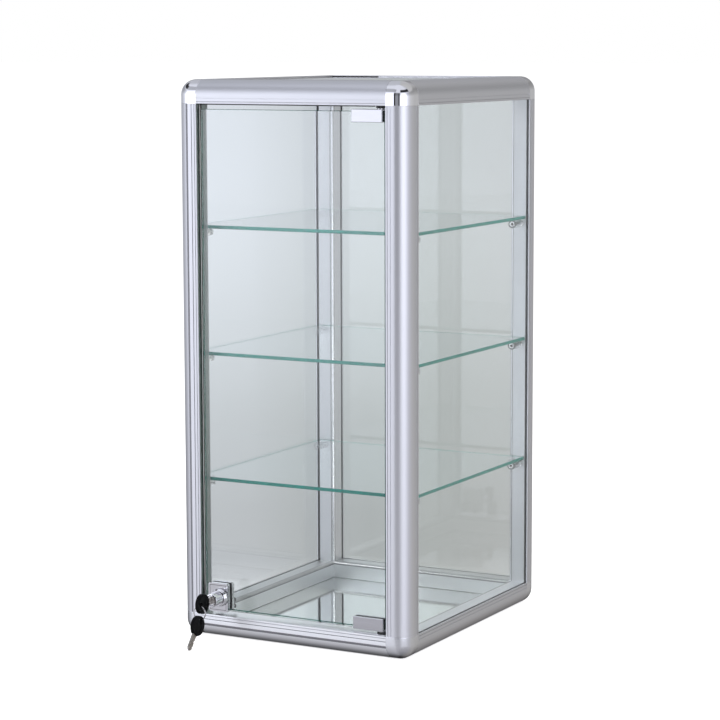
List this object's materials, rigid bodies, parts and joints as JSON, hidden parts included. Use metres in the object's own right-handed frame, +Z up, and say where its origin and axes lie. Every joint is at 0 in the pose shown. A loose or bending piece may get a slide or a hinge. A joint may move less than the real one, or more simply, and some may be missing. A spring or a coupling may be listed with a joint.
{
  "type": "display case",
  "caption": "Tall countertop display case with rounded metal bars, glass walls and top, glass shelves on pegs, a mirror floor and a side-hung glass door with a clamp-on lock.",
  "frame": {"origin": "on the surface that the case stands on, under the middle of the case's footprint", "axes": "+X to the right seen from the front, +Y from the door to the back, +Z up"},
  "size_m": [0.304, 0.4269, 0.66],
  "materials": {
    "bar_metal": "satin anodised, drawn lengthwise",
    "corner_metal": "polished plating",
    "joiner_metal": "as cast",
    "pane_glass": "clear with a green edge",
    "shelf_glass": "clear with a blue-green polished edge",
    "mirror": "silvered",
    "board": "smooth",
    "gasket_rubber": "matt",
    "peg_plastic": "clear",
    "bush_plastic": "smooth",
    "hinge_metal": "satin",
    "lock_metal": "polished plating",
    "steel": "bright zinc",
    "black_steel": "black oxide",
    "key_metal": "nickel plate",
    "key_plastic": "moulded"
  },
  "bodies": {
    "case": {"post_front_left": "bar_metal", "post_front_right": "bar_metal", "post_rear_left": "bar_metal", "post_rear_right": "bar_metal", "rail_top_front": "bar_metal", "rail_top_rear": "bar_metal", "rail_top_left": "bar_metal", "rail_top_right": "bar_metal", "rail_bottom_front": "bar_metal", "rail_bottom_rear": "bar_metal", "rail_bottom_left": "bar_metal", "rail_bottom_right": "bar_metal", "cap_top_front_left": "corner_metal", "cap_top_front_right": "corner_metal", "cap_top_rear_left": "corner_metal", "cap_top_rear_right": "corner_metal", "cap_bottom_front_left": "corner_metal", "cap_bottom_front_right": "corner_metal", "cap_bottom_rear_left": "corner_metal", "cap_bottom_rear_right": "corner_metal", "corner_joiners": "joiner_metal", "pane_left": "pane_glass", "pane_right": "pane_glass", "pane_rear": "pane_glass", "top_glass": "pane_glass", "mirror_floor": "mirror", "base_board": "board", "gasket_left": "gasket_rubber", "gasket_right": "gasket_rubber", "gasket_rear": "gasket_rubber", "gasket_top": "gasket_rubber", "door_seal": "gasket_rubber", "peg_sleeves": "peg_plastic", "peg_screws": "steel", "hinge_bushes": "bush_plastic"},
    "door": {"door_glass": "pane_glass", "hinge_clip_top": "hinge_metal", "hinge_clip_bottom": "hinge_metal", "hinge_pads": "gasket_rubber", "hinge_pins": "steel", "hinge_grub_screws": "black_steel", "lock_body": "lock_metal", "lock_pads": "gasket_rubber", "lock_clamp_screws": "black_steel"},
    "plug": {"lock_plug": "steel"},
    "bolt": {"lock_bolt": "steel"},
    "key": {"key_blade": "key_metal", "key_grip": "key_plastic"},
    "ring": {"key_ring": "steel"},
    "spare_key": {"spare_key_blade": "key_metal", "spare_key_grip": "key_plastic"},
    "upper_shelf": {"shelf_upper": "shelf_glass"},
    "middle_shelf": {"shelf_middle": "shelf_glass"},
    "lower_shelf": {"shelf_lower": "shelf_glass"}
  },
  "joints": [
    {"name": "door_hinge", "type": "hinge", "parent": "case", "child": "door", "pos_m": [0.114, -0.1685, 0], "axis": [0, 0, 1], "range_deg": [0, 100]},
    {"name": "lock_turn", "type": "hinge", "parent": "door", "child": "plug", "pos_m": [-0.0985, -0.19, 0.05], "axis": [0, -1, 0], "range_deg": [0, 90]},
    {"name": "bolt_drop", "type": "slide", "parent": "door", "child": "bolt", "axis": [0, 0, -1], "range_m": [0, 0.009]},
    {"name": "key_withdraw", "type": "slide", "parent": "plug", "child": "key", "axis": [0, -1, 0], "range_m": [0, 0.02]},
    {"name": "ring_swing", "type": "hinge", "parent": "key", "child": "ring", "pos_m": [-0.0985, -0.223, 0.0485], "axis": [-1, 0, 0], "range_deg": [0, 75]},
    {"name": "spare_key_slip", "type": "hinge", "parent": "ring", "child": "spare_key", "pos_m": [-0.0985, -0.223, 0.0405], "axis": [0, -1, 0], "range_deg": [-90, 0]},
    {"name": "upper_shelf_lift", "type": "slide", "parent": "case", "child": "upper_shelf", "axis": [0, 0, 1], "range_m": [0, 0.12]},
    {"name": "middle_shelf_lift", "type": "slide", "parent": "case", "child": "middle_shelf", "axis": [0, 0, 1], "range_m": [0, 0.12]},
    {"name": "lower_shelf_lift", "type": "slide", "parent": "case", "child": "lower_shelf", "axis": [0, 0, 1], "range_m": [0, 0.12]}
  ],
  "couplings": [
    {"joint": "bolt_drop", "follows": "lock_turn", "m_per_rad": 0.0057296},
    {"joint": "spare_key_slip", "follows": "lock_turn", "ratio": -1}
  ]
}
